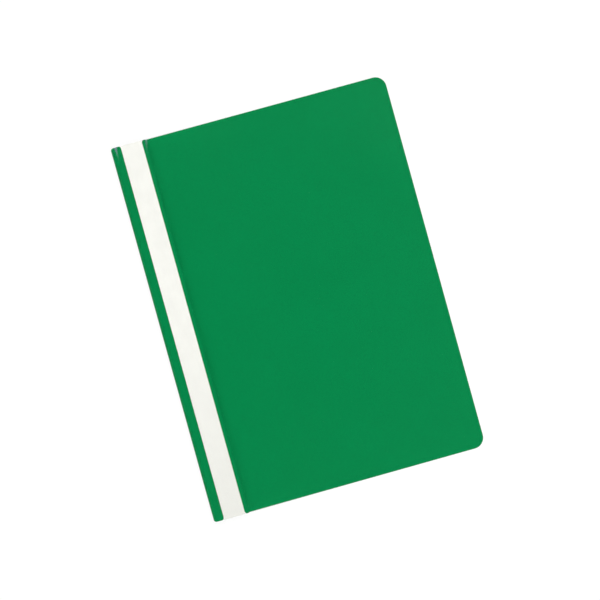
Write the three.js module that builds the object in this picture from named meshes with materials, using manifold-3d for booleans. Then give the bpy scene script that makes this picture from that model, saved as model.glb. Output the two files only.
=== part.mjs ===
// An A4 flat report file, closed and lying on its back cover, in millimetres with +Z up.
// The spine lies along the -X edge, the top of a filed sheet points to +Y, and the origin is the
// middle of the underside. The green back sheet folds round the spine into a band, and a clear front
// is welded to that band on both sides of a paper title strip. Under the band lies a two-prong
// fastener: base strip, prongs, compressor bar and sliding catches.
import * as THREE from 'three';
import { mergeVertices } from 'three/addons/utils/BufferGeometryUtils.js';
import Module from 'manifold-3d';

const wasm = await Module();
wasm.setup();

// Driving dimensions of the covers.
const fileWidth = 227;
const fileLength = 310;
const freeCornerRadius = 9;
const spineCornerRadius = 2.5;
const stripCornerRadius = 2;
const cutCornerRadius = 0.3;
const arcSteps = 6;

// Places measured from the spine edge towards the free edge.
const spineX = -fileWidth / 2;
const freeX = fileWidth / 2;
const creaseX = spineX + 28.85;
const creaseHalfGap = 0.15;
const labelStart = 8.4;
const labelWidth = 17.3;
const flapWidth = 30;

// A shallow notch at both ends of every green sheet under the title strip bares its tips.
const notchDepth = 2.2;
const notchClearance = 0.2;
const notchOverrun = 1;

// Thickness of each layer, from the table upwards under the title strip.
const layerGap = 0.25;
const thickness = {
  back: 0.3,
  base: 0.3,
  flap: 0.25,
  catchLip: 0.25,
  bar: 0.4,
  prong: 0.3,
  catchTop: 0.25,
  band: 0.3,
  label: 0.2,
  film: 0.25,
};
const level = {};
let stackHeight = 0;
for (const [layer, height] of Object.entries(thickness)) {
  level[layer] = stackHeight;
  stackHeight += height + layerGap;
}

// The front leaf drapes from the crease down to just above the back cover.
const leafRestHeight = thickness.back + 0.5;
const drapeLength = 85;
const drapeSteps = 20;

// Driving dimensions of the fastener: filing holes 80 mm apart, on a line beside the spine.
const fastenerX = spineX + 18;
const prongSpacing = 80;
const prongWidth = 4.6;
const prongLength = 28;
const rootThickness = 0.4;
const baseStripWidth = 8;
const baseStripLength = 96;
const barWidth = 10.5;
const barLength = 112;
const barEndRadius = 4.5;
const slotClearance = 0.6;
const slotHeight = 1.8;
const slotCornerRadius = 0.5;

// The sliding catches: folded sheet sleeves round the bar, stored just clear of the prong tips.
const catchLength = 6;
const catchCentre = 7.5;
const catchWall = 0.3;
const catchLipReach = 1.7;

// A rectangle from (left, low) to (right, high) with its own radius at the left and right corners.
function traceRectangle(path, left, low, right, high, leftRadius, rightRadius) {
  path.moveTo(left + leftRadius, low);
  path.lineTo(right - rightRadius, low);
  path.absarc(right - rightRadius, low + rightRadius, rightRadius, -Math.PI / 2, 0);
  path.lineTo(right, high - rightRadius);
  path.absarc(right - rightRadius, high - rightRadius, rightRadius, 0, Math.PI / 2);
  path.lineTo(left + leftRadius, high);
  path.absarc(left + leftRadius, high - leftRadius, leftRadius, Math.PI / 2, Math.PI);
  path.lineTo(left, low + leftRadius);
  path.absarc(left + leftRadius, low + leftRadius, leftRadius, Math.PI, 1.5 * Math.PI);
  return path;
}

// A flat sheet cut from a rounded rectangle, lying with its underside at the given height.
function flatSheet(shape, height, depth) {
  const geometry = new THREE.ExtrudeGeometry(shape, {
    depth,
    bevelEnabled: false,
    curveSegments: arcSteps,
  });
  geometry.translate(0, 0, height);
  return geometry;
}

// A section drawn in X and Z, run along Y for a length about the middle of the file.
function runAlongFile(section, length) {
  const geometry = new THREE.ExtrudeGeometry(section, { depth: length, bevelEnabled: false });
  geometry.rotateX(Math.PI / 2);
  geometry.translate(0, length / 2, 0);
  return geometry;
}

function toSolid(geometry) {
  const bare = geometry.index ? geometry.toNonIndexed() : geometry.clone();
  bare.deleteAttribute('normal');
  bare.deleteAttribute('uv');
  const merged = mergeVertices(bare);
  return new wasm.Manifold(new wasm.Mesh({
    numProp: 3,
    vertProperties: new Float32Array(merged.attributes.position.array),
    triVerts: new Uint32Array(merged.index.array),
  }));
}

function toGeometry(solid) {
  const mesh = solid.getMesh();
  const geometry = new THREE.BufferGeometry();
  geometry.setAttribute('position', new THREE.BufferAttribute(mesh.vertProperties, 3));
  geometry.setIndex(new THREE.BufferAttribute(mesh.triVerts, 1));
  geometry.computeVertexNormals();
  return geometry;
}

// The tool that cuts the notch at one end, 1 for the top and -1 for the bottom. Its sides flare
// outwards, so the sheet's corners are left round.
function makeNotchCutter(end) {
  const left = spineX + labelStart - notchClearance;
  const right = spineX + labelStart + labelWidth + notchClearance;
  const edge = fileLength / 2;
  const outline = new THREE.Shape();
  outline.moveTo(left - notchDepth, edge + notchOverrun);
  outline.lineTo(left - notchDepth, edge);
  outline.absarc(left - notchDepth, edge - notchDepth, notchDepth, Math.PI / 2, 0, true);
  outline.lineTo(right, edge - notchDepth);
  outline.absarc(right + notchDepth, edge - notchDepth, notchDepth, Math.PI, Math.PI / 2, true);
  outline.lineTo(right + notchDepth, edge + notchOverrun);
  const geometry = flatSheet(outline, -notchOverrun, stackHeight + 2 * notchOverrun);
  if (end < 0) {
    geometry.rotateX(Math.PI);
    geometry.translate(0, 0, stackHeight);
  }
  return toSolid(geometry);
}

function notched(geometry) {
  const atTop = toSolid(geometry).subtract(makeNotchCutter(1));
  return toGeometry(atTop.subtract(makeNotchCutter(-1)));
}

// The back cover: one sheet of the full outline.
function makeBackCover() {
  const outline = traceRectangle(
    new THREE.Shape(), spineX, -fileLength / 2, freeX, fileLength / 2,
    spineCornerRadius, freeCornerRadius,
  );
  return notched(flatSheet(outline, 0, thickness.back));
}

// A strip that runs the length of the file, from one distance off the spine to another.
function makeSpineStrip(from, to, layer, leftRadius, rightRadius) {
  const outline = traceRectangle(
    new THREE.Shape(), spineX + from, -fileLength / 2, spineX + to, fileLength / 2,
    leftRadius, rightRadius,
  );
  return flatSheet(outline, level[layer], thickness[layer]);
}

// One slot for each prong, cut through the shape of the flap or the bar.
function addProngSlots(shape) {
  const halfWidth = prongWidth / 2 + slotClearance;
  for (const side of [-1, 1]) {
    const middle = side * prongSpacing / 2;
    shape.holes.push(traceRectangle(
      new THREE.Path(), fastenerX - halfWidth, middle - slotHeight / 2,
      fastenerX + halfWidth, middle + slotHeight / 2, slotCornerRadius, slotCornerRadius,
    ));
  }
  return shape;
}

function makeFastenerFlap() {
  const outline = traceRectangle(
    new THREE.Shape(), spineX, -fileLength / 2, spineX + flapWidth, fileLength / 2,
    spineCornerRadius, stripCornerRadius,
  );
  return notched(flatSheet(addProngSlots(outline), level.flap, thickness.flap));
}

function makeCompressorBar() {
  const outline = traceRectangle(
    new THREE.Shape(), fastenerX - barWidth / 2, -barLength / 2,
    fastenerX + barWidth / 2, barLength / 2, barEndRadius, barEndRadius,
  );
  return flatSheet(addProngSlots(outline), level.bar, thickness.bar);
}

// The base strip with its two upright roots, which pass through the slots of flap and bar.
function makeFastenerBase() {
  const outline = traceRectangle(
    new THREE.Shape(), fastenerX - baseStripWidth / 2, -baseStripLength / 2,
    fastenerX + baseStripWidth / 2, baseStripLength / 2, stripCornerRadius, stripCornerRadius,
  );
  let solid = toSolid(flatSheet(outline, level.base, thickness.base));
  const rootHeight = level.bar + thickness.bar - layerGap / 2 - level.base;
  for (const side of [-1, 1]) {
    const root = new THREE.BoxGeometry(prongWidth, rootThickness, rootHeight);
    root.translate(fastenerX, side * prongSpacing / 2, level.base + rootHeight / 2);
    solid = solid.add(toSolid(root));
  }
  return toGeometry(solid);
}

// A prong folded flat: straight sides and a rounded tip that points to the file's middle.
function makeProng(side) {
  const halfWidth = prongWidth / 2;
  const shoulder = prongLength - halfWidth;
  const outline = new THREE.Shape();
  outline.moveTo(-halfWidth, 0);
  outline.lineTo(halfWidth, 0);
  outline.lineTo(halfWidth, shoulder);
  outline.absarc(0, shoulder, halfWidth, 0, Math.PI);
  const geometry = flatSheet(outline, level.prong, thickness.prong);
  if (side > 0) {
    geometry.rotateZ(Math.PI);
  }
  geometry.translate(fastenerX, side * prongSpacing / 2, 0);
  return geometry;
}

// A sliding catch: a top over the prong, two walls beside the bar and two lips turned in under it.
function makeCatch(side) {
  const inner = barWidth / 2 + layerGap;
  const outer = inner + catchWall;
  const lipEnd = inner - catchLipReach;
  const lipLow = level.catchLip;
  const lipHigh = level.catchLip + thickness.catchLip;
  const topLow = level.catchTop;
  const topHigh = level.catchTop + thickness.catchTop;
  const section = new THREE.Shape();
  section.moveTo(-outer, lipLow);
  section.lineTo(-lipEnd, lipLow);
  section.lineTo(-lipEnd, lipHigh);
  section.lineTo(-inner, lipHigh);
  section.lineTo(-inner, topLow);
  section.lineTo(inner, topLow);
  section.lineTo(inner, lipHigh);
  section.lineTo(lipEnd, lipHigh);
  section.lineTo(lipEnd, lipLow);
  section.lineTo(outer, lipLow);
  section.lineTo(outer, topHigh);
  section.lineTo(-outer, topHigh);
  const geometry = runAlongFile(section, catchLength);
  geometry.translate(fastenerX, side * catchCentre, 0);
  return geometry;
}

// Underside height of the draped front leaf at a distance from the crease.
function leafHeight(distance) {
  const share = Math.min(distance / drapeLength, 1);
  const drop = level.film - leafRestHeight;
  return leafRestHeight + drop * (1 + Math.cos(Math.PI * share)) / 2;
}

// The front leaf: the draped section run along the file, cut to the rounded outline.
function makeFrontCover() {
  const start = creaseX + creaseHalfGap;
  const section = new THREE.Shape();
  section.moveTo(start, leafHeight(0));
  for (let step = 1; step <= drapeSteps; step += 1) {
    const distance = drapeLength * step / drapeSteps;
    section.lineTo(start + distance, leafHeight(distance));
  }
  section.lineTo(freeX, leafRestHeight);
  section.lineTo(freeX, leafRestHeight + thickness.film);
  for (let step = drapeSteps; step >= 0; step -= 1) {
    const distance = drapeLength * step / drapeSteps;
    section.lineTo(start + distance, leafHeight(distance) + thickness.film);
  }
  const outline = traceRectangle(
    new THREE.Shape(), spineX, -fileLength / 2, freeX, fileLength / 2,
    spineCornerRadius, freeCornerRadius,
  );
  const draped = toSolid(runAlongFile(section, fileLength));
  const cutter = toSolid(flatSheet(outline, 0, stackHeight));
  return toGeometry(draped.intersect(cutter));
}

const report = new THREE.Group();

function addPiece(name, geometry, color, roughness, metalness) {
  const material = new THREE.MeshStandardMaterial({ color, roughness, metalness });
  const mesh = new THREE.Mesh(geometry, material);
  mesh.name = name;
  report.add(mesh);
  return mesh;
}

const green = 0x00874c;
const clear = 0xdfe8e2;
const paper = 0xf6f6f1;
const tinned = 0xc3c5c4;

addPiece('back_cover', makeBackCover(), green, 0.45, 0);
addPiece('fastener_flap', makeFastenerFlap(), green, 0.5, 0);
addPiece('fastener_base', makeFastenerBase(), tinned, 0.35, 0.9);
addPiece('compressor_bar', makeCompressorBar(), tinned, 0.3, 0.9);
for (const [end, side] of [['upper', 1], ['lower', -1]]) {
  addPiece(`prong_${end}`, makeProng(side), tinned, 0.3, 0.9);
  addPiece(`catch_${end}`, makeCatch(side), tinned, 0.3, 0.9);
}

// The label section: the band below, the paper strip lying on it, and the film on top of both.
const sectionWidth = creaseX - creaseHalfGap - spineX;
const labelEnd = labelStart + labelWidth;
const band = makeSpineStrip(0, sectionWidth, 'band', spineCornerRadius, cutCornerRadius);
const label = makeSpineStrip(labelStart, labelEnd, 'label', cutCornerRadius, cutCornerRadius);
const sectionFilm = makeSpineStrip(0, sectionWidth, 'film', spineCornerRadius, cutCornerRadius);
addPiece('spine_band', notched(band), green, 0.45, 0);
addPiece('title_label', label, paper, 0.85, 0);
addPiece('label_section_film', sectionFilm, clear, 0.25, 0);
addPiece('front_cover', makeFrontCover(), clear, 0.25, 0);

export default report;
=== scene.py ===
import math

import bmesh
import bpy
import numpy as np
from mathutils import Matrix, Vector


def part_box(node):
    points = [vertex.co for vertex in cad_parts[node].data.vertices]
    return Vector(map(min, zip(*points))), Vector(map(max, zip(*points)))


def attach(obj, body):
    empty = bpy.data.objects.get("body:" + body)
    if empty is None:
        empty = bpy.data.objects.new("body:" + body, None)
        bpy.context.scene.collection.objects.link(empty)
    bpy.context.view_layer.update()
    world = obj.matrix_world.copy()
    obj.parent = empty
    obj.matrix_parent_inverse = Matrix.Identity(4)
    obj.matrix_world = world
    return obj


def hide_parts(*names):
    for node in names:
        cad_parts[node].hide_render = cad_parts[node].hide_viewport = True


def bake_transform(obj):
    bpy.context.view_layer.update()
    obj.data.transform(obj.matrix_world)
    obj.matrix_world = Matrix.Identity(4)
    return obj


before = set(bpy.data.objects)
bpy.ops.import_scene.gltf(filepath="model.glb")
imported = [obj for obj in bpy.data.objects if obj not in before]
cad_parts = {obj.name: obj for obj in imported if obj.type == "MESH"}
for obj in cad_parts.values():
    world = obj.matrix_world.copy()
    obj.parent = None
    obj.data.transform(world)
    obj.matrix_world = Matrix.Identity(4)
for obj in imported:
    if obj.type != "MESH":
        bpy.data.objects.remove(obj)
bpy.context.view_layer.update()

# ---------------------------------------------------------------------------
# The table and the studio. The file lies askew on a pale copy table, looked down on through a long
# lens. Broad softboxes stand round it and nothing bright hangs overhead, so the glossy front stays clear.
# ---------------------------------------------------------------------------

MM = 0.001

camera_data = bpy.data.cameras.new("copy_camera")
camera_data.lens = 100
camera_data.sensor_width = 36
camera_data.clip_end = 30
camera = bpy.data.objects.new("copy_camera", camera_data)
camera.location = (-41.9 * MM, 14.6 * MM, 1339.2 * MM)
camera.rotation_euler = [math.radians(degrees) for degrees in (-0.19, -1.93, -15.51)]
bpy.context.collection.objects.link(camera)
bpy.context.scene.camera = camera
bpy.context.scene.view_settings.view_transform = "Standard"


def linear(hex_colour):
    """An sRGB hex colour as linear red, green, blue and a full alpha."""
    values = [int(hex_colour[i : i + 2], 16) / 255 for i in (1, 3, 5)]
    return tuple(v / 12.92 if v <= 0.04045 else ((v + 0.055) / 1.055) ** 2.4 for v in values) + (1.0,)


def put(tree, kind, inputs=None, **settings):
    """Adds a node with its settings, and with each named input set to a value or linked to a socket."""
    node = tree.nodes.new(kind)
    for name, value in settings.items():
        setattr(node, name, value)
    for name, value in (inputs or {}).items():
        if isinstance(value, bpy.types.NodeSocket):
            tree.links.new(value, node.inputs[name])
        else:
            node.inputs[name].default_value = value
    return node


def blank_material(name):
    """A material whose node tree is empty, for one finish of this file."""
    material = bpy.data.materials.new(name)
    material.use_nodes = True
    material.node_tree.nodes.clear()
    return material, material.node_tree


# Opal acrylic, lit from below as on a copy table: it reads as plain white and takes almost no shadow,
# and a clear sheet laid on it still shows. Its own body is greyish, and the glow does the rest.
MOTTLES_PER_METRE = 30
OPAL_GREY = "#545453"
OPAL_GLOW = 0.89
TABLE_HALF_SIZE = 4.0
TABLE_DROP = 0.3 * MM
opal_acrylic, tree = blank_material("opal_acrylic")
mottle = put(tree, "ShaderNodeTexNoise", {"Scale": MOTTLES_PER_METRE, "Detail": 3.0})
table_roughness = put(
    tree, "ShaderNodeMapRange", {"Value": mottle.outputs[0], "To Min": 0.75, "To Max": 0.9}
)
table_shader = put(
    tree,
    "ShaderNodeBsdfPrincipled",
    {
        "Base Color": linear(OPAL_GREY),
        "Roughness": table_roughness.outputs[0],
        "Specular IOR Level": 0.2,
        "Emission Color": (1, 1, 1, 1),
        "Emission Strength": OPAL_GLOW,
    },
)
put(tree, "ShaderNodeOutputMaterial", {"Surface": table_shader.outputs[0]})

table_mesh = bpy.data.meshes.new("table_top")
table_corners = [
    (x * TABLE_HALF_SIZE, y * TABLE_HALF_SIZE, -TABLE_DROP) for x, y in ((-1, -1), (1, -1), (1, 1), (-1, 1))
]
table_mesh.from_pydata(table_corners, [], [(0, 1, 2, 3)])
table_mesh.materials.append(opal_acrylic)
table_top = bpy.data.objects.new("table_top", table_mesh)
bpy.context.collection.objects.link(table_top)

# The room: pale round the horizon and dark overhead.
ROOM_PALE = "#F4F5F4"
ROOM_DARK = "#030404"
ROOM_STRENGTH = 0.5
MIX_A, MIX_B = 6, 7  # the two colour sockets of a Mix node
world = bpy.data.worlds.new("studio_room")
bpy.context.scene.world = world
world.use_nodes = True
tree = world.node_tree
tree.nodes.clear()
direction = put(tree, "ShaderNodeTexCoord")
upward = put(tree, "ShaderNodeSeparateXYZ", {"Vector": direction.outputs["Generated"]})
overhead = put(
    tree,
    "ShaderNodeMapRange",
    {"Value": upward.outputs["Z"], "From Min": 0.25, "From Max": 0.75},
    interpolation_type="SMOOTHSTEP",
)
room_colour = put(
    tree,
    "ShaderNodeMix",
    {"Factor": overhead.outputs[0], MIX_A: linear(ROOM_PALE), MIX_B: linear(ROOM_DARK)},
    data_type="RGBA",
)
room_light = put(
    tree, "ShaderNodeBackground", {"Color": room_colour.outputs[2], "Strength": ROOM_STRENGTH}
)
put(tree, "ShaderNodeOutputWorld", {"Surface": room_light.outputs[0]})


def add_softbox(name, compass, from_zenith, power, size=1.74, distance=3.0):
    """A square softbox aimed at the file, placed by degrees round from +X and down from overhead."""
    round_angle = math.radians(compass)
    down_angle = math.radians(from_zenith)
    place = Vector((
        math.cos(round_angle) * math.sin(down_angle),
        math.sin(round_angle) * math.sin(down_angle),
        math.cos(down_angle),
    ))
    lamp_data = bpy.data.lights.new(name, "AREA")
    lamp_data.size = size
    lamp_data.energy = power
    lamp = bpy.data.objects.new(name, lamp_data)
    lamp.location = place * distance
    lamp.rotation_euler = (-place).to_track_quat("-Z", "Y").to_euler()
    bpy.context.collection.objects.link(lamp)
    return lamp


# Little light comes from the spine side, so that the raised title strip throws no shade on the crease.
SOFTBOX_FROM_ZENITH = 43
softboxes = (("free_side", 0, 53), ("top_end", 84, 66), ("bottom_end", -84, 48), ("spine_side", 180, 14))
for side_name, compass, power in softboxes:
    add_softbox(f"softbox_{side_name}", compass, SOFTBOX_FROM_ZENITH, power)
# A dim card overhead, whose near edge the front film mirrors as a faint sheen in its top free corner.
SHEEN_PLACE = (0.575, 0.555, 1.5)
SHEEN_TURN = math.radians(42)
sheen_card = add_softbox("sheen_card", compass=0, from_zenith=0, power=0.09, size=0.9)
sheen_card.location = SHEEN_PLACE
sheen_card.rotation_euler = (0, 0, SHEEN_TURN)

# ---------------------------------------------------------------------------
# Back sheet. One opaque sheet of extruded polypropylene, folded round at the spine so that it runs on
# over the front as the band under the title strip. Its corners and the two notches are die-cut.
# ---------------------------------------------------------------------------

back_low, back_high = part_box("back_cover")
band_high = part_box("spine_band")[1]
SPINE_X = back_low.x
FREE_X = back_high.x
HALF_LENGTH = back_high.y
FREE_CORNER = 9 * MM
SPINE_CORNER = 2.5 * MM
SHEET_THICKNESS = back_high.z - back_low.z

label_low, label_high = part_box("title_label")
NOTCH_DEPTH = 1.6 * MM
NOTCH_MARGIN = 0.2 * MM
NOTCH_LEFT = label_low.x - NOTCH_MARGIN
NOTCH_RIGHT = label_high.x + NOTCH_MARGIN
REST = "rest_place"
CURVE_POINTS = 9
LEAST_STEP = 0.02 * MM
ROUNDING = 1e-9


def round_corner(distance, radius):
    """How far a rounded corner draws the sheet's end back, at each distance in from the side."""
    reach = np.clip(radius - distance, 0, radius)
    return radius - np.sqrt(radius**2 - reach**2)


def title_notch(x):
    """How far the notch for the title strip draws the sheet's end back at each x."""
    outside = np.maximum(NOTCH_LEFT - x, x - NOTCH_RIGHT)
    return round_corner(np.maximum(outside, 0), NOTCH_DEPTH)


def stations(low, high, step, rounds=(), fine=()):
    """Places across a sheet: a step apart, and closer where its shape needs it.
    rounds are (place, radius) of corners, and fine is (middle, half width) of bands."""
    places = [np.linspace(low, high, max(2, round((high - low) / step) + 1))]
    turn = np.linspace(0, math.pi / 2, CURVE_POINTS)
    places += [place + radius * (1 - np.cos(turn)) for place, radius in rounds]
    places += [np.linspace(place - half, place + half, CURVE_POINTS) for place, half in fine]
    merged = np.sort(np.concatenate(places))
    merged = merged[(merged >= low - ROUNDING) & (merged <= high + ROUNDING)]
    return merged[np.append(True, np.diff(merged) > LEAST_STEP)]


def sheet_faces(count, rows):
    """Four-sided faces of a closed sheet: two grids of points, upper then lower, and the rim between."""
    at = np.arange(count * rows).reshape(count, rows)
    low = at + count * rows
    quads = [
        (at[:-1, :-1], at[1:, :-1], at[1:, 1:], at[:-1, 1:]),
        (low[:-1, :-1], low[:-1, 1:], low[1:, 1:], low[1:, :-1]),
        (at[0, :-1], at[0, 1:], low[0, 1:], low[0, :-1]),
        (at[-1, 1:], at[-1, :-1], low[-1, :-1], low[-1, 1:]),
        (at[1:, 0], at[:-1, 0], low[:-1, 0], low[1:, 0]),
        (at[:-1, -1], at[1:, -1], low[1:, -1], low[:-1, -1]),
    ]
    return np.concatenate([np.stack([part.ravel() for part in quad], 1) for quad in quads])


def laid_sheet(name, section, draw_back, thickness, half_length=HALF_LENGTH, rows=40, ripple=None):
    """A closed sheet whose middle line is the section in X and Z, run along Y to its drawn-back ends.
    ripple, if given, lifts each point by a height worked out from its X and Y."""
    line = np.asarray(section, float)
    run = np.gradient(line, axis=0)
    run /= np.linalg.norm(run, axis=1)[:, None]
    out = np.stack([-run[:, 1], run[:, 0]], 1) * thickness / 2
    spread = np.linspace(-1, 1, rows)
    y = (half_length - draw_back(line[:, 0]))[:, None] * spread[None, :]
    sides = []
    for face in (line + out, line - out):
        x = np.repeat(face[:, :1], rows, 1)
        z = np.repeat(face[:, 1:], rows, 1)
        if ripple is not None:
            z = z + ripple(x, y)
        sides.append(np.stack([x, y, z], 2).reshape(-1, 3))
    mesh = bpy.data.meshes.new(name)
    mesh.from_pydata(np.concatenate(sides).tolist(), [], sheet_faces(len(line), rows).tolist())
    return finish_mesh(name, mesh)


def finish_mesh(name, mesh, sharp_degrees=40):
    """Shades a mesh smooth but for its cut edges, stores each point's place at rest, and links it."""
    mesh.validate()
    mesh.polygons.foreach_set("use_smooth", np.ones(len(mesh.polygons), bool))
    mesh.set_sharp_from_angle(angle=math.radians(sharp_degrees))
    place = np.empty(len(mesh.vertices) * 3, np.float32)
    mesh.vertices.foreach_get("co", place)
    stored = mesh.attributes.new(REST, "FLOAT_VECTOR", "POINT")
    stored.data.foreach_set("vector", place)
    piece = bpy.data.objects.new(name, mesh)
    bpy.context.collection.objects.link(piece)
    return piece


# Extruded polypropylene, rolled with a fine sand grain: a deep even green with a soft satin sheen.
# Its pits are painted a shade darker, as painted shade where light is trapped. The real grain is about
# 0.3 mm, too fine to show, so it is drawn at 0.9 mm and kept shallow.
SHEET_GREEN = "#008046"
SHEET_GREEN_PALE = "#00874C"
SHEET_GREEN_PIT_SHADE = "#007440"
GRAIN_SIZE = 0.9 * MM
CLOUD_SIZE = 60 * MM
sand_grain_green, tree = blank_material("sand_grained_polypropylene_green")
rest = put(tree, "ShaderNodeAttribute", attribute_name=REST)
cloud = put(
    tree, "ShaderNodeTexNoise", {"Vector": rest.outputs["Vector"], "Scale": 1 / CLOUD_SIZE, "Detail": 2.0}
)
cloud_share = put(
    tree,
    "ShaderNodeMapRange",
    {"Value": cloud.outputs[0], "From Min": 0.35, "From Max": 0.75, "To Max": 0.3},
)
clouded_green = put(
    tree,
    "ShaderNodeMix",
    {"Factor": cloud_share.outputs[0], MIX_A: linear(SHEET_GREEN), MIX_B: linear(SHEET_GREEN_PALE)},
    data_type="RGBA",
)
grain = put(
    tree,
    "ShaderNodeTexNoise",
    {"Vector": rest.outputs["Vector"], "Scale": 1 / GRAIN_SIZE, "Detail": 2.0, "Roughness": 0.6},
)
# Painted shade: where the grain is low, the green is mixed towards the darker pit colour.
pit_shade_share = put(
    tree,
    "ShaderNodeMapRange",
    {"Value": grain.outputs[0], "From Min": 0.36, "From Max": 0.5, "To Min": 0.55, "To Max": 0.0},
)
grained_green = put(
    tree,
    "ShaderNodeMix",
    {"Factor": pit_shade_share.outputs[0], MIX_A: clouded_green.outputs[2], MIX_B: linear(SHEET_GREEN_PIT_SHADE)},
    data_type="RGBA",
)
grain_bump = put(
    tree, "ShaderNodeBump", {"Height": grain.outputs[0], "Strength": 0.6, "Distance": 0.05 * MM}
)
satin = put(
    tree, "ShaderNodeMapRange", {"Value": grain.outputs[0], "To Min": 0.27, "To Max": 0.37}
)
green_shader = put(
    tree,
    "ShaderNodeBsdfPrincipled",
    {
        "Base Color": grained_green.outputs[2],
        "Roughness": satin.outputs[0],
        "IOR": 1.49,
        "Specular IOR Level": 0.11,
        "Normal": grain_bump.outputs[0],
    },
)
put(tree, "ShaderNodeOutputMaterial", {"Surface": green_shader.outputs[0]})

# The heights of the layers on the front, from the film at the top down to the band, then the fold.
film_low, film_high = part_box("label_section_film")
FILM_THICKNESS = 0.2 * MM
CARD_THICKNESS = 0.18 * MM
LAYER_GAP = 0.05 * MM
film_height = film_high.z - FILM_THICKNESS / 2 - LAYER_GAP
card_height = film_height - (FILM_THICKNESS + CARD_THICKNESS) / 2 - LAYER_GAP
band_height = card_height - (CARD_THICKNESS + SHEET_THICKNESS) / 2 - LAYER_GAP
back_height = (back_low.z + back_high.z) / 2
FOLD_RADIUS = (band_height - back_height) / 2
fold_x = SPINE_X + FOLD_RADIUS + SHEET_THICKNESS / 2
fold_z = back_height + FOLD_RADIUS
FOLD_STEPS = 18

back_places = stations(
    fold_x,
    FREE_X,
    step=4 * MM,
    rounds=[(FREE_X, -FREE_CORNER), (NOTCH_LEFT, -NOTCH_DEPTH), (NOTCH_RIGHT, NOTCH_DEPTH)],
)
band_places = stations(
    fold_x, band_high.x, step=1.5 * MM, rounds=[(NOTCH_LEFT, -NOTCH_DEPTH), (NOTCH_RIGHT, NOTCH_DEPTH)]
)
fold_angles = np.linspace(1.5 * math.pi, 0.5 * math.pi, FOLD_STEPS)[1:-1]
back_section = [(x, back_height) for x in back_places[::-1]]
back_section += [
    (fold_x + FOLD_RADIUS * math.cos(a), fold_z + FOLD_RADIUS * math.sin(a)) for a in fold_angles
]
back_section += [(x, band_height) for x in band_places]


def back_ends(x):
    """The back sheet's ends: round at the spine and the free edge, notched under the title strip."""
    return np.maximum.reduce(
        [round_corner(x - SPINE_X, SPINE_CORNER), round_corner(FREE_X - x, FREE_CORNER), title_notch(x)]
    )


back_sheet = laid_sheet("back_sheet", back_section, back_ends, SHEET_THICKNESS)
back_sheet.data.materials.append(sand_grain_green)
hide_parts("back_cover", "spine_band")
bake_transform(back_sheet)

# ---------------------------------------------------------------------------
# Fastener base. A strip of tinned steel blanked from coil, its edges eased by the press. It lies
# between the back sheet and the filing flap, and the two prongs are bent up out of it.
# ---------------------------------------------------------------------------

base_low, base_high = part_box("fastener_base")
BASE_THICKNESS = 0.3 * MM
BASE_CORNER = 2 * MM
fastener_x = (base_low.x + base_high.x) / 2

# Tinplate: cold-rolled steel with a tin coat. It mirrors softly, in streaks along the rolling
# direction, with dull rubbed patches. The rolling lines are microns apart, and are drawn at 0.15 mm.
TIN_BRIGHT = "#BBBDBD"
TIN_RUBBED = "#989B9C"
ROLL_LINE = 0.15 * MM
ROLL_STRETCH = 0.02
RUBBED_PATCH = 9 * MM
RUBBED_DULLING = 0.12
tinplate, tree = blank_material("rolled_tinplate")
rest = put(tree, "ShaderNodeAttribute", attribute_name=REST)
rolled = put(
    tree, "ShaderNodeMapping", {"Vector": rest.outputs["Vector"], "Scale": (1, ROLL_STRETCH, 1)}
)
roll_lines = put(
    tree, "ShaderNodeTexNoise", {"Vector": rolled.outputs[0], "Scale": 1 / ROLL_LINE, "Detail": 3.0}
)
rubbed = put(
    tree, "ShaderNodeTexNoise", {"Vector": rest.outputs["Vector"], "Scale": 1 / RUBBED_PATCH, "Detail": 4.0}
)
rubbed_share = put(
    tree, "ShaderNodeMapRange", {"Value": rubbed.outputs[0], "From Min": 0.45, "From Max": 0.7}
)
tin_colour = put(
    tree,
    "ShaderNodeMix",
    {"Factor": rubbed_share.outputs[0], MIX_A: linear(TIN_BRIGHT), MIX_B: linear(TIN_RUBBED)},
    data_type="RGBA",
)
tin_base = put(
    tree, "ShaderNodeMapRange", {"Value": roll_lines.outputs[0], "To Min": 0.28, "To Max": 0.42}
)
tin_roughness = put(
    tree,
    "ShaderNodeMath",
    {0: rubbed_share.outputs[0], 1: RUBBED_DULLING, 2: tin_base.outputs[0]},
    operation="MULTIPLY_ADD",
)
tin_bump = put(
    tree, "ShaderNodeBump", {"Height": roll_lines.outputs[0], "Strength": 0.2, "Distance": 0.01 * MM}
)
tin_shader = put(
    tree,
    "ShaderNodeBsdfPrincipled",
    {
        "Base Color": tin_colour.outputs[2],
        "Metallic": 1.0,
        "Roughness": tin_roughness.outputs[0],
        "Normal": tin_bump.outputs[0],
    },
)
put(tree, "ShaderNodeOutputMaterial", {"Surface": tin_shader.outputs[0]})


def ease_edges(piece, width, segments=2, least_degrees=50):
    """Rounds a piece's cut edges, as blanking or die-cutting leaves them, and shades it again."""
    bevel = piece.modifiers.new("eased_edge", "BEVEL")
    bevel.width = width
    bevel.segments = segments
    bevel.limit_method = "ANGLE"
    bevel.angle_limit = math.radians(least_degrees)
    return bake_modifiers(piece)


def bake_modifiers(piece):
    """Applies a piece's modifiers, and returns the piece made again from the result."""
    graph = bpy.context.evaluated_depsgraph_get()
    mesh = bpy.data.meshes.new_from_object(piece.evaluated_get(graph))
    name = piece.name
    old = mesh.attributes.get(REST)
    if old is not None:
        mesh.attributes.remove(old)
    bpy.data.objects.remove(piece)
    mesh.name = name
    return finish_mesh(name, mesh)


def round_ends(low_x, high_x, radius):
    """The ends of a strip with both corners rounded, as a function of x."""
    return lambda x: np.maximum(round_corner(x - low_x, radius), round_corner(high_x - x, radius))


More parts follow.
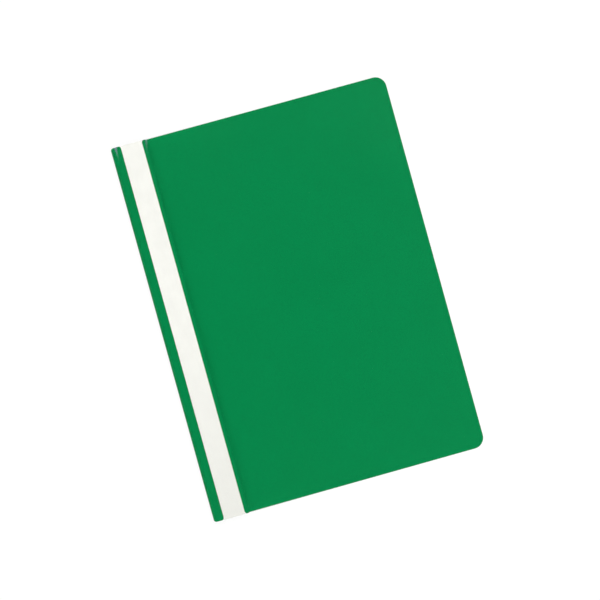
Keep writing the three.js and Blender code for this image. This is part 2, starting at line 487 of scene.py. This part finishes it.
base_places = stations(
    base_low.x, base_high.x, step=1 * MM, rounds=[(base_low.x, BASE_CORNER), (base_high.x, -BASE_CORNER)]
)
base_middle = base_low.z + BASE_THICKNESS / 2
fastener_strip = laid_sheet(
    "fastener_strip",
    [(x, base_middle) for x in base_places],
    round_ends(base_low.x, base_high.x, BASE_CORNER),
    BASE_THICKNESS,
    half_length=base_high.y,
    rows=20,
)
fastener_strip = ease_edges(fastener_strip, width=0.06 * MM)
fastener_strip.data.materials.append(tinplate)
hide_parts("fastener_base")
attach(fastener_strip, "back")

# ---------------------------------------------------------------------------
# Filing flap. A strip of the same green polypropylene, welded to the back sheet along the spine and
# loose at its other edge. Two slots are punched in it for the prongs.
# ---------------------------------------------------------------------------

flap_low, flap_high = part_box("fastener_flap")
prong_low, prong_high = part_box("prong_upper")
FLAP_THICKNESS = flap_high.z - flap_low.z
FLAP_CORNER = 2 * MM
FLAP_INSET = 2.6 * MM
SPINE_WELD_X = SPINE_X + 4.2 * MM
WELD_HALF_WIDTH = 2.6 * MM
WELD_FLAT_SHARE = 0.4
WELD_GAP_UNDER = 0.03 * MM
SLOT_CLEARANCE = 0.6 * MM
SLOT_HALF_WIDTH = (prong_high.x - prong_low.x) / 2 + SLOT_CLEARANCE
SLOT_HALF_HEIGHT = 0.9 * MM
SLOT_CORNER = 0.5 * MM
PUNCH_REACH = 1 * MM
HOLE_Y = 40 * MM
flap_middle = (flap_low.z + flap_high.z) / 2
flap_start = SPINE_X + FLAP_INSET


def soft_step(value, start, end):
    """Rises smoothly from 0 at the start to 1 at the end."""
    share = np.clip((value - start) / (end - start), 0, 1)
    return share**2 * (3 - 2 * share)


def weld_press(x, middle, half_width, depth):
    """How far a weld presses a sheet down at each x: a flat-bottomed groove with soft shoulders."""
    return depth * soft_step(np.abs(x - middle), half_width, WELD_FLAT_SHARE * half_width)


def cut_prong_slots(piece, low, high):
    """Cuts the two slots for the prongs through a piece that lies between two heights."""
    low, high = low - PUNCH_REACH, high + PUNCH_REACH
    for side in (-1, 1):
        shape = bmesh.new()
        bmesh.ops.create_cube(shape, size=1)
        size = Vector((2 * SLOT_HALF_WIDTH, 2 * SLOT_HALF_HEIGHT, high - low))
        bmesh.ops.scale(shape, vec=size, verts=shape.verts)
        uprights = [e for e in shape.edges if abs(e.verts[0].co.z - e.verts[1].co.z) > (high - low) / 2]
        bmesh.ops.bevel(shape, geom=uprights, offset=SLOT_CORNER, segments=4, affect="EDGES", profile=0.5)
        place = Vector((fastener_x, side * HOLE_Y, (low + high) / 2))
        bmesh.ops.translate(shape, vec=place, verts=shape.verts)
        punch_mesh = bpy.data.meshes.new("slot_punch")
        shape.to_mesh(punch_mesh)
        shape.free()
        punch = bpy.data.objects.new("slot_punch", punch_mesh)
        bpy.context.collection.objects.link(punch)
        cut = piece.modifiers.new("prong_slot", "BOOLEAN")
        cut.operation = "DIFFERENCE"
        cut.solver = "EXACT"
        cut.object = punch
        piece = bake_modifiers(piece)
        bpy.data.objects.remove(punch)
    return piece


flap_places = stations(
    flap_start,
    flap_high.x,
    step=2 * MM,
    rounds=[(flap_high.x, -FLAP_CORNER), (NOTCH_LEFT, -NOTCH_DEPTH), (NOTCH_RIGHT, NOTCH_DEPTH)],
    fine=[(SPINE_WELD_X, WELD_HALF_WIDTH)],
)
weld_depth = flap_low.z - back_high.z - WELD_GAP_UNDER
flap_heights = flap_middle - weld_press(flap_places, SPINE_WELD_X, WELD_HALF_WIDTH, weld_depth)


def flap_ends(x):
    """The flap's ends: rounded at both sides, and notched with the sheets it lies between."""
    spine_end = round_corner(x - flap_start, SPINE_CORNER)
    free_end = round_corner(flap_high.x - x, FLAP_CORNER)
    return np.maximum.reduce([spine_end, free_end, title_notch(x)])


filing_flap = laid_sheet("filing_flap", list(zip(flap_places, flap_heights)), flap_ends, FLAP_THICKNESS)
filing_flap = cut_prong_slots(filing_flap, flap_low.z, flap_high.z)
filing_flap.data.materials.append(sand_grain_green)
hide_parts("fastener_flap")
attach(filing_flap, "back")

# ---------------------------------------------------------------------------
# Compressor bar. Tinned steel, blanked with round ends and two slots, its long edges pressed down
# and a bead pressed up along its middle so that it stays stiff. It drops over the prongs.
# ---------------------------------------------------------------------------

bar_low, bar_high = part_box("compressor_bar")
BAR_CORNER = 4.5 * MM
BAR_SKIN = 0.3 * MM
EDGE_TURN = 0.22 * MM
EDGE_WIDTH = 1.1 * MM
BEAD_HEIGHT = 0.1 * MM
BEAD_HALF_WIDTH = 1.3 * MM
BEAD_HALF_LENGTH = 33 * MM
BEAD_RUN_OUT = 4 * MM
bar_middle = (bar_low.z + bar_high.z) / 2


def bar_bead(x, y):
    """Height of the bar's pressed bead, which runs out before the slots, at each x and y."""
    across_share = np.clip(1 - ((x - fastener_x) / BEAD_HALF_WIDTH) ** 2, 0, 1)
    along_share = soft_step(np.abs(y), BEAD_HALF_LENGTH, BEAD_HALF_LENGTH - BEAD_RUN_OUT)
    return BEAD_HEIGHT * across_share * along_share


bar_places = stations(
    bar_low.x,
    bar_high.x,
    step=0.5 * MM,
    rounds=[(bar_low.x, BAR_CORNER), (bar_high.x, -BAR_CORNER)],
)
from_edge = np.minimum(bar_places - bar_low.x, bar_high.x - bar_places)
turned = np.clip(1 - from_edge / EDGE_WIDTH, 0, 1) ** 2 * EDGE_TURN
pressure_bar = laid_sheet(
    "pressure_bar",
    list(zip(bar_places, bar_middle - turned)),
    round_ends(bar_low.x, bar_high.x, BAR_CORNER),
    BAR_SKIN,
    half_length=bar_high.y,
    rows=90,
    ripple=bar_bead,
)
pressure_bar = cut_prong_slots(pressure_bar, bar_low.z, bar_high.z)
pressure_bar = ease_edges(pressure_bar, width=0.05 * MM)
pressure_bar.data.materials.append(tinplate)
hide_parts("compressor_bar")
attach(pressure_bar, "back")

# ---------------------------------------------------------------------------
# Prongs. Two tongues of the base strip, bent up through the slots and then folded flat over the bar,
# each with a rounded tip and a shallow groove that stiffens it.
# ---------------------------------------------------------------------------

PRONG_THICKNESS = prong_high.z - prong_low.z
PRONG_HALF_WIDTH = (prong_high.x - prong_low.x) / 2
PRONG_GROOVE = 0.07 * MM
BEND_RADIUS = 0.55 * MM
BEND_STEPS = 8
ROOT_STEPS = 6
LENGTH_STEPS = 24
GROOVE_POINTS = 9
LEAST_TIP_SHARE = 0.02
prong_middle = (prong_low.z + prong_high.z) / 2


def prong_outline(distance_to_tip):
    """Half the prong's width at each distance from its tip, which is a half circle."""
    inside = np.clip(PRONG_HALF_WIDTH - distance_to_tip, 0, PRONG_HALF_WIDTH)
    least = LEAST_TIP_SHARE * PRONG_HALF_WIDTH
    return np.sqrt(np.maximum(PRONG_HALF_WIDTH**2 - inside**2, least**2))


for end, side in (("upper", 1), ("lower", -1)):
    node_low, node_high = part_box(f"prong_{end}")
    tip_y = min(abs(node_low.y), abs(node_high.y))
    bend_y = HOLE_Y - BEND_RADIUS
    bend_z = prong_middle - BEND_RADIUS
    root = [(HOLE_Y, z) for z in np.linspace(base_middle, bend_z, ROOT_STEPS)[:-1]]
    bend = [
        (bend_y + BEND_RADIUS * math.cos(a), bend_z + BEND_RADIUS * math.sin(a))
        for a in np.linspace(0, math.pi / 2, BEND_STEPS)
    ]
    round_y = tip_y + PRONG_HALF_WIDTH
    straight = [(y, prong_middle) for y in np.linspace(bend_y, round_y, LENGTH_STEPS)[1:]]
    turn = np.linspace(0, math.pi / 2, CURVE_POINTS)[1:]
    tip = [(tip_y + PRONG_HALF_WIDTH * (1 - math.sin(a)), prong_middle) for a in turn]
    path = np.array(root + bend + straight + tip)
    run = np.gradient(path, axis=0)
    run /= np.linalg.norm(run, axis=1)[:, None]
    out = np.stack([run[:, 1], -run[:, 0]], 1)
    # The root, below the bend, is full width. Past the bend the width follows the outline of the tip.
    half_widths = np.where(path[:, 1] < prong_middle - 0.5 * BEND_RADIUS, PRONG_HALF_WIDTH, 0)
    half_widths = np.maximum(half_widths, prong_outline(path[:, 0] - tip_y))
    across_prong = np.linspace(-1, 1, GROOVE_POINTS)
    groove = PRONG_GROOVE * (1 - across_prong**2) ** 2
    rings = []
    for face in (1, -1):
        for (y, z), (oy, oz), half in zip(path, out, half_widths):
            lift = face * PRONG_THICKNESS / 2 - groove * half / PRONG_HALF_WIDTH
            rings.append(
                np.stack(
                    [fastener_x + across_prong * half, side * (y + lift * oy), z + lift * oz], 1
                )
            )
    faces = sheet_faces(len(path), GROOVE_POINTS)
    if side < 0:
        faces = faces[:, ::-1]
    mesh = bpy.data.meshes.new(f"tongue_{end}")
    mesh.from_pydata(np.concatenate(rings).tolist(), [], faces.tolist())
    solid = bmesh.new()
    solid.from_mesh(mesh)
    bmesh.ops.recalc_face_normals(solid, faces=solid.faces)
    solid.to_mesh(mesh)
    solid.free()
    tongue = finish_mesh(f"tongue_{end}", mesh)
    tongue = ease_edges(tongue, width=0.05 * MM)
    tongue.data.materials.append(tinplate)
    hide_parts(f"prong_{end}")
    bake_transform(tongue)

# ---------------------------------------------------------------------------
# Sliding catches. Each is a short sleeve folded from tinned steel round the bar, with its two ends
# turned in underneath and two ribs pressed across the top to push with a fingernail.
# ---------------------------------------------------------------------------

CATCH_SKIN = 0.25 * MM
CATCH_BEND = 0.35 * MM
CATCH_LIP = 1.7 * MM
RIB_HEIGHT = 0.13 * MM
RIB_SPACING = 1.5 * MM
RIB_HALF_WIDTH = 0.5 * MM
RIB_MARGIN = 1.2 * MM
TOP_POINTS = 12
catch_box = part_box("catch_upper")
left = catch_box[0].x + CATCH_SKIN / 2
right = catch_box[1].x - CATCH_SKIN / 2


def filleted(corners, radius, steps=6):
    """The line through the corners, with each inner one rounded to the radius."""
    points = [Vector(corners[0])]
    for before, corner, after in zip(corners, corners[1:], corners[2:]):
        corner = Vector(corner)
        into = (corner - Vector(before)).normalized()
        away = (Vector(after) - corner).normalized()
        trim = radius * math.tan(into.angle(away) / 2)
        start, end = corner - into * trim, corner + away * trim
        for step in range(steps + 1):
            share = step / steps
            points.append(
                start * (1 - share) ** 2 + corner * 2 * share * (1 - share) + end * share**2
            )
    return [tuple(p) for p in points + [Vector(corners[-1])]]


def catch_ribs(x, y):
    """Height of the two ribs pressed across the catch's top, at each x and y along it."""
    inner = soft_step(np.minimum(x - left, right - x), RIB_MARGIN, 2 * RIB_MARGIN)
    first = np.exp(-(((y + RIB_SPACING / 2) / RIB_HALF_WIDTH) ** 2))
    second = np.exp(-(((y - RIB_SPACING / 2) / RIB_HALF_WIDTH) ** 2))
    return RIB_HEIGHT * np.clip(first + second, 0, 1) * inner


for end in ("upper", "lower"):
    catch_low, catch_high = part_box(f"catch_{end}")
    catch_y = (catch_low.y + catch_high.y) / 2
    bottom, top = catch_low.z + CATCH_SKIN / 2, catch_high.z - CATCH_SKIN / 2
    sleeve_line = filleted(
        [
            (left + CATCH_LIP, bottom),
            (left, bottom),
            (left, top),
            (right, top),
            (right, bottom),
            (right - CATCH_LIP, bottom),
        ],
        CATCH_BEND,
    )
    top_places = np.linspace(left + CATCH_BEND, right - CATCH_BEND, TOP_POINTS)[1:-1]
    middle_at = next(i for i, (x, z) in enumerate(sleeve_line) if x > fastener_x)
    sleeve_line[middle_at:middle_at] = [(x, top) for x in top_places]
    catch = laid_sheet(
        f"sliding_catch_{end}",
        sleeve_line,
        lambda x: 0 * x,
        CATCH_SKIN,
        half_length=(catch_high.y - catch_low.y) / 2,
        rows=26,
        ripple=catch_ribs,
    )
    catch.data.transform(Matrix.Translation((0, catch_y, 0)))
    catch = ease_edges(catch, width=0.04 * MM)
    catch.data.materials.append(tinplate)
    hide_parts(f"catch_{end}")
    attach(catch, f"catch_{end}")

# ---------------------------------------------------------------------------
# Title strip. White uncoated card, guillotined to width, for writing the title on. It is blank here
# and slides lengthwise in its pocket.
# ---------------------------------------------------------------------------

# A matt warm white with a faint cloudiness and fibres. Over its lower half it greys a little towards
# the bottom end: painted shade, where the light falls off.
CARD_WHITE = "#EBEBE5"
CARD_WARM = "#E7E7E1"
CARD_SHADED_END = "#E0E0DA"
FIBRE_SIZE = 1.2 * MM
FORMATION_SIZE = 8 * MM
CARD_CORNER = 0.3 * MM
uncoated_card, tree = blank_material("uncoated_white_card")
rest = put(tree, "ShaderNodeAttribute", attribute_name=REST)
fibre = put(
    tree,
    "ShaderNodeTexNoise",
    {"Vector": rest.outputs["Vector"], "Scale": 1 / FIBRE_SIZE, "Detail": 5.0, "Roughness": 0.7},
)
formation = put(
    tree,
    "ShaderNodeTexNoise",
    {"Vector": rest.outputs["Vector"], "Scale": 1 / FORMATION_SIZE, "Detail": 2.0},
)
formation_share = put(
    tree, "ShaderNodeMapRange", {"Value": formation.outputs[0], "From Min": 0.35, "From Max": 0.65}
)
clouded_card = put(
    tree,
    "ShaderNodeMix",
    {"Factor": formation_share.outputs[0], MIX_A: linear(CARD_WHITE), MIX_B: linear(CARD_WARM)},
    data_type="RGBA",
)
along = put(tree, "ShaderNodeSeparateXYZ", {"Vector": rest.outputs["Vector"]})
# Painted shade: the card darkens from its middle to its bottom end.
shaded_end_share = put(
    tree,
    "ShaderNodeMapRange",
    {
        "Value": along.outputs["Y"],
        "From Min": -HALF_LENGTH,
        "From Max": 0.0,
        "To Min": 1.0,
        "To Max": 0.0,
    },
)
card_colour = put(
    tree,
    "ShaderNodeMix",
    {"Factor": shaded_end_share.outputs[0], MIX_A: clouded_card.outputs[2], MIX_B: linear(CARD_SHADED_END)},
    data_type="RGBA",
)
card_roughness = put(
    tree, "ShaderNodeMapRange", {"Value": fibre.outputs[0], "To Min": 0.78, "To Max": 0.92}
)
card_bump = put(
    tree, "ShaderNodeBump", {"Height": fibre.outputs[0], "Strength": 0.25, "Distance": 0.03 * MM}
)
card_shader = put(
    tree,
    "ShaderNodeBsdfPrincipled",
    {
        "Base Color": card_colour.outputs[2],
        "Roughness": card_roughness.outputs[0],
        "IOR": 1.5,
        "Specular IOR Level": 0.3,
        "Normal": card_bump.outputs[0],
    },
)
put(tree, "ShaderNodeOutputMaterial", {"Surface": card_shader.outputs[0]})

label_places = stations(
    label_low.x, label_high.x, step=2 * MM, rounds=[(label_low.x, CARD_CORNER), (label_high.x, -CARD_CORNER)]
)
title_card = laid_sheet(
    "title_card",
    [(x, card_height) for x in label_places],
    round_ends(label_low.x, label_high.x, CARD_CORNER),
    CARD_THICKNESS,
)
title_card.data.materials.append(uncoated_card)
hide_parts("title_label")
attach(title_card, "title_strip")

# ---------------------------------------------------------------------------
# Front film. One clear sheet from the spine to the free edge, welded to the green band on both sides
# of the title strip and scored beside it, where the leaf drapes down onto the back.
# ---------------------------------------------------------------------------

leaf_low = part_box("front_cover")[0]
DRAPE_LENGTH = 85 * MM
CREASE_X = (film_high.x + leaf_low.x) / 2
POCKET_WELD_X = SPINE_X + 27.9 * MM
SEAM_HALF_WIDTH = 0.6 * MM
SEAM_DEPTH = 0.03 * MM
WELD_GAP = 0.05 * MM
CARD_MARGIN = 0.1 * MM
CARD_SLOPE = 2.2 * MM

# Clear polypropylene film, cast on a polished roll: glass-clear with a slight ripple in its gloss.
# At the top ends of the two welds it turns pale, fading along the seam: stress whitening and painted
# highlight.
FILM_TINT = "#FCFCFC"
FILM_WHITENING_HIGHLIGHT_COLOUR = "#9C9EBE"
FILM_MIRROR = 0.039
FILM_ROUGHNESS = 0.12
PEEL_SIZE = 14 * MM
WHITENING_HIGHLIGHT_REACH = 13 * MM
WHITENING_HIGHLIGHT_HALF_WIDTH = 1.7 * MM
WHITENING_HIGHLIGHT_TAIL = 0.4
WHITENING_HIGHLIGHT_STRENGTH = 0.31
SECOND_WHITENING_HIGHLIGHT_SHARE = 0.55
SECOND_WHITENING_HIGHLIGHT_OFFSET = 1.7 * MM
SECOND_WHITENING_HIGHLIGHT_SLANT = 0.2
clear_film, tree = blank_material("cast_polypropylene_film_clear")
rest = put(tree, "ShaderNodeAttribute", attribute_name=REST)
where = put(tree, "ShaderNodeSeparateXYZ", {"Vector": rest.outputs["Vector"]})
from_top = put(
    tree, "ShaderNodeMath", {0: HALF_LENGTH, 1: where.outputs["Y"]}, operation="SUBTRACT"
)
fade = put(
    tree,
    "ShaderNodeMapRange",
    {"Value": from_top.outputs[0], "From Max": WHITENING_HIGHLIGHT_REACH, "To Min": 1.0, "To Max": 0.0},
)
fade_squared = put(tree, "ShaderNodeMath", {0: fade.outputs[0], 1: fade.outputs[0]}, operation="MULTIPLY")
whitening_highlight_width = put(
    tree,
    "ShaderNodeMapRange",
    {
        "Value": fade_squared.outputs[0],
        "To Min": WHITENING_HIGHLIGHT_TAIL * WHITENING_HIGHLIGHT_HALF_WIDTH,
        "To Max": WHITENING_HIGHLIGHT_HALF_WIDTH,
    },
)
slanted = put(
    tree,
    "ShaderNodeMath",
    {0: from_top.outputs[0], 1: SECOND_WHITENING_HIGHLIGHT_SLANT, 2: where.outputs["X"]},
    operation="MULTIPLY_ADD",
)
second_streak_x = POCKET_WELD_X + SECOND_WHITENING_HIGHLIGHT_OFFSET
streaks = []
for line, line_x in ((where.outputs["X"], SPINE_WELD_X), (slanted.outputs[0], second_streak_x)):
    off_line = put(tree, "ShaderNodeMath", {0: line, 1: line_x}, operation="SUBTRACT")
    distance = put(tree, "ShaderNodeMath", {0: off_line.outputs[0]}, operation="ABSOLUTE")
    share = put(
        tree, "ShaderNodeMath", {0: distance.outputs[0], 1: whitening_highlight_width.outputs[0]}, operation="DIVIDE"
    )
    streaks.append(
        put(
            tree,
            "ShaderNodeMapRange",
            {"Value": share.outputs[0], "To Min": 1.0, "To Max": 0.0},
            interpolation_type="SMOOTHSTEP",
        )
    )
fainter = put(
    tree, "ShaderNodeMath", {0: streaks[1].outputs[0], 1: SECOND_WHITENING_HIGHLIGHT_SHARE}, operation="MULTIPLY"
)
streak = put(
    tree, "ShaderNodeMath", {0: streaks[0].outputs[0], 1: fainter.outputs[0]}, operation="MAXIMUM"
)
faded = put(
    tree, "ShaderNodeMath", {0: streak.outputs[0], 1: fade_squared.outputs[0]}, operation="MULTIPLY"
)
whitening_highlight_amount = put(tree, "ShaderNodeMath", {0: faded.outputs[0], 1: WHITENING_HIGHLIGHT_STRENGTH}, operation="MULTIPLY")
peel = put(
    tree, "ShaderNodeTexNoise", {"Vector": rest.outputs["Vector"], "Scale": 1 / PEEL_SIZE, "Detail": 2.0}
)
film_bump = put(
    tree, "ShaderNodeBump", {"Height": peel.outputs[0], "Strength": 0.3, "Distance": 0.06 * MM}
)
see_through = put(tree, "ShaderNodeBsdfTransparent", {"Color": linear(FILM_TINT)})
gloss = put(
    tree, "ShaderNodeBsdfAnisotropic", {"Roughness": FILM_ROUGHNESS, "Normal": film_bump.outputs[0]}
)
# The share that mirrors rises towards a grazing look, by Schlick's fifth power, alike on both faces.
slant = put(tree, "ShaderNodeLayerWeight", {"Blend": 0.5, "Normal": film_bump.outputs[0]})
slant_power = put(tree, "ShaderNodeMath", {0: slant.outputs["Facing"], 1: 5.0}, operation="POWER")
mirror_share = put(
    tree,
    "ShaderNodeMath",
    {0: slant_power.outputs[0], 1: 1 - FILM_MIRROR, 2: FILM_MIRROR},
    operation="MULTIPLY_ADD",
)
# Painted highlight, with stress whitening: a pale diffuse mixed into the film at the weld ends.
whitening_highlight_bsdf = put(tree, "ShaderNodeBsdfDiffuse", {"Color": linear(FILM_WHITENING_HIGHLIGHT_COLOUR)})
clear_part = put(
    tree,
    "ShaderNodeMixShader",
    {0: mirror_share.outputs[0], 1: see_through.outputs[0], 2: gloss.outputs[0]},
)
film_shader = put(
    tree,
    "ShaderNodeMixShader",
    {0: whitening_highlight_amount.outputs[0], 1: clear_part.outputs[0], 2: whitening_highlight_bsdf.outputs[0]},
)
put(tree, "ShaderNodeOutputMaterial", {"Surface": film_shader.outputs[0]})

FILM_INSET = 1.2 * MM
film_start = SPINE_X + FILM_INSET
film_places = stations(
    film_start,
    FREE_X,
    step=3 * MM,
    rounds=[(FREE_X, -FREE_CORNER), (film_start, SPINE_CORNER)],
    fine=[
        (SPINE_WELD_X, SEAM_HALF_WIDTH),
        (POCKET_WELD_X, SEAM_HALF_WIDTH),
        (CREASE_X, SEAM_HALF_WIDTH),
        (label_low.x - CARD_MARGIN - CARD_SLOPE / 2, CARD_SLOPE / 2),
        (label_high.x + CARD_MARGIN + CARD_SLOPE / 2, CARD_SLOPE / 2),
    ],
)
leaf_rest = leaf_low.z + (film_high.z - film_low.z) / 2
welded_height = band_height + (FILM_THICKNESS + SHEET_THICKNESS) / 2 + WELD_GAP
past_card = np.maximum(label_low.x - film_places, film_places - label_high.x)
over_card = soft_step(past_card, CARD_MARGIN + CARD_SLOPE, CARD_MARGIN)
off_crease = soft_step(film_places, leaf_low.x + DRAPE_LENGTH, leaf_low.x)
film_heights = leaf_rest + (welded_height - leaf_rest) * off_crease
film_heights += (film_height - welded_height) * over_card
for seam_x in (SPINE_WELD_X, POCKET_WELD_X, CREASE_X):
    film_heights -= weld_press(film_places, seam_x, SEAM_HALF_WIDTH, SEAM_DEPTH)

RIPPLE_HEIGHT = 0.12 * MM
RIPPLE_LONG = 95 * MM
RIPPLE_SHORT = 61 * MM
LONG_SLANT = 0.4
SHORT_SLANT = 0.8
SHORT_SHARE = 0.6
SHORT_SHIFT = 1.0


def leaf_ripple(x, y):
    """The slight waviness of a thin sheet lying loose: none at the crease, most towards the free edge."""
    loose = soft_step(x, leaf_low.x, leaf_low.x + DRAPE_LENGTH)
    long_wave = np.sin(2 * math.pi * (y + LONG_SLANT * x) / RIPPLE_LONG)
    short_wave = np.sin(2 * math.pi * (SHORT_SLANT * y - x) / RIPPLE_SHORT + SHORT_SHIFT)
    return RIPPLE_HEIGHT * loose * (long_wave + SHORT_SHARE * short_wave)


def film_ends(x):
    """The front film's ends: round at the spine and at the free edge, straight over the title strip."""
    return np.maximum(round_corner(x - film_start, SPINE_CORNER), round_corner(FREE_X - x, FREE_CORNER))


front_film = laid_sheet(
    "front_film",
    list(zip(film_places, film_heights)),
    film_ends,
    FILM_THICKNESS,
    rows=64,
    ripple=leaf_ripple,
)
front_film.data.materials.append(clear_film)
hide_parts("label_section_film", "front_cover")
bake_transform(front_film)
